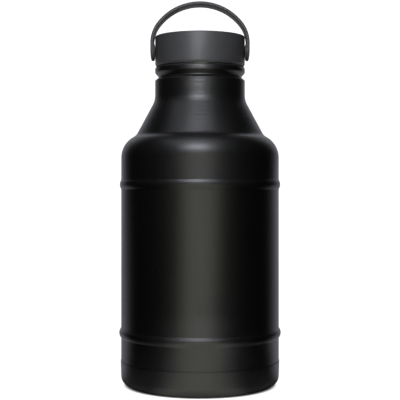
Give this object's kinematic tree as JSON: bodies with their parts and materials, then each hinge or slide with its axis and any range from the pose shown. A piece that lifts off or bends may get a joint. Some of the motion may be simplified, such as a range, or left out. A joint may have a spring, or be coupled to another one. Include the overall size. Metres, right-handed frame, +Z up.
{
  "type": "insulated growler",
  "caption": "Insulated steel growler: cylindrical double-walled body with two raised hoops, sloped shoulder, short neck, and a screw lid with a swinging bail handle.",
  "frame": {"origin": "centre of the standing ring's plane, at the bottom of the bottle", "axes": "+Z up along the bottle's axis; the handle's pivots lie along X; +Y points away from the viewer of the front"},
  "size_m": [0.1256, 0.1256, 0.2972],
  "materials": {
    "body_coat": "satin",
    "bare_steel": "satin",
    "steel_sheet": "matte",
    "lid_plastic": "matte",
    "liner_plastic": "matte",
    "handle_plastic": "matte",
    "foam": "matte",
    "gasket_silicone": "matte",
    "pin_steel": "satin",
    "washer_plastic": "satin",
    "insert_brass": "satin",
    "sealing_glass": "gloss",
    "getter_alloy": "matte"
  },
  "bodies": {
    "bottle": {"outer_shell": "body_coat", "inner_vessel": "bare_steel", "inner_base": "bare_steel", "outer_base_plate": "steel_sheet", "evacuation_seal": "sealing_glass", "getter": "getter_alloy", "getter_clip": "steel_sheet", "base_cup": "body_coat"},
    "seal": {"cap_gasket": "gasket_silicone"},
    "cap": {"cap_shell": "lid_plastic", "cap_liner": "liner_plastic", "cap_foam": "foam", "plug_cover": "bare_steel", "pivot_pin_left": "pin_steel", "pivot_pin_right": "pin_steel", "pivot_washer_left": "washer_plastic", "pivot_washer_right": "washer_plastic", "pivot_insert_left": "insert_brass", "pivot_insert_right": "insert_brass"},
    "handle": {"handle": "handle_plastic"}
  },
  "joints": [
    {"name": "cap_rise", "type": "slide", "parent": "bottle", "child": "seal", "axis": [0, 0, 1], "range_m": [0, 0.024]},
    {"name": "cap_turn", "type": "hinge", "parent": "seal", "child": "cap", "pos_m": [0, 0, 0.26], "axis": [0, 0, 1], "range_deg": [0, 1440]},
    {"name": "handle_swing", "type": "hinge", "parent": "cap", "child": "handle", "pos_m": [0, 0, 0.25976], "axis": [1, 0, 0], "range_deg": [-52, 52]}
  ],
  "couplings": [
    {"joint": "cap_rise", "follows": "cap_turn", "m_per_rad": 0.00095493}
  ]
}
